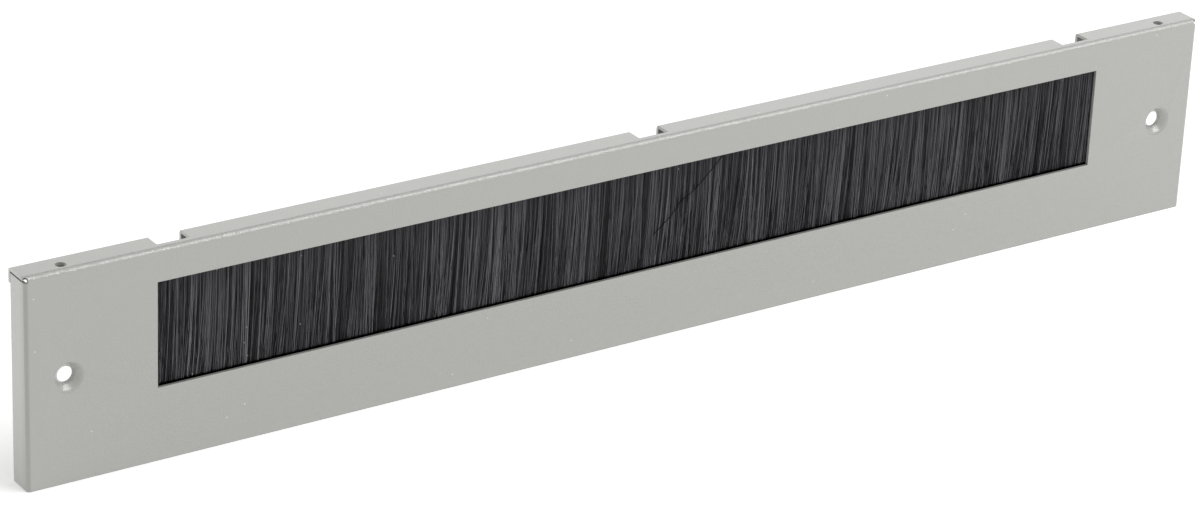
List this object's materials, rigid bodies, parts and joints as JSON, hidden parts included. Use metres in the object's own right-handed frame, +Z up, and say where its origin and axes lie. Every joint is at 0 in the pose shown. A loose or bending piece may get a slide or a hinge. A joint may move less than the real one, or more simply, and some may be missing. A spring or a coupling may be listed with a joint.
{
  "type": "rack brush panel",
  "caption": "Long folded steel panel with a brush-filled cable window, a notched top flange and dimpled screw holes at both ends, for closing a cable entry in a network rack or its plinth.",
  "frame": {"origin": "middle of the panel's length, on the bottom edge, at the plane of the front face", "axes": "+X along the length to the viewer's right, +Y from the front face to the back, +Z up"},
  "size_m": [0.64, 0.015, 0.1],
  "materials": {
    "powder_coat": "light grey powder coat",
    "black_nylon": "black nylon filament",
    "steel_wire": "drawn steel wire",
    "zinc_strip": "galvanised strip",
    "mill_aluminium": "mill finish extrusion",
    "zinc_fixings": "bright zinc plate"
  },
  "bodies": {
    "root": {"front_panel": "powder_coat", "bristle_curtain": "black_nylon", "core_wire": "steel_wire", "brush_channel": "zinc_strip", "brush_holder": "mill_aluminium", "weld_stud_left": "zinc_fixings", "weld_stud_middle": "zinc_fixings", "weld_stud_right": "zinc_fixings", "flat_washer_left": "zinc_fixings", "flat_washer_middle": "zinc_fixings", "flat_washer_right": "zinc_fixings", "spring_washer_left": "zinc_fixings", "spring_washer_middle": "zinc_fixings", "spring_washer_right": "zinc_fixings", "hex_nut_left": "zinc_fixings", "hex_nut_middle": "zinc_fixings", "hex_nut_right": "zinc_fixings"}
  },
  "joints": []
}
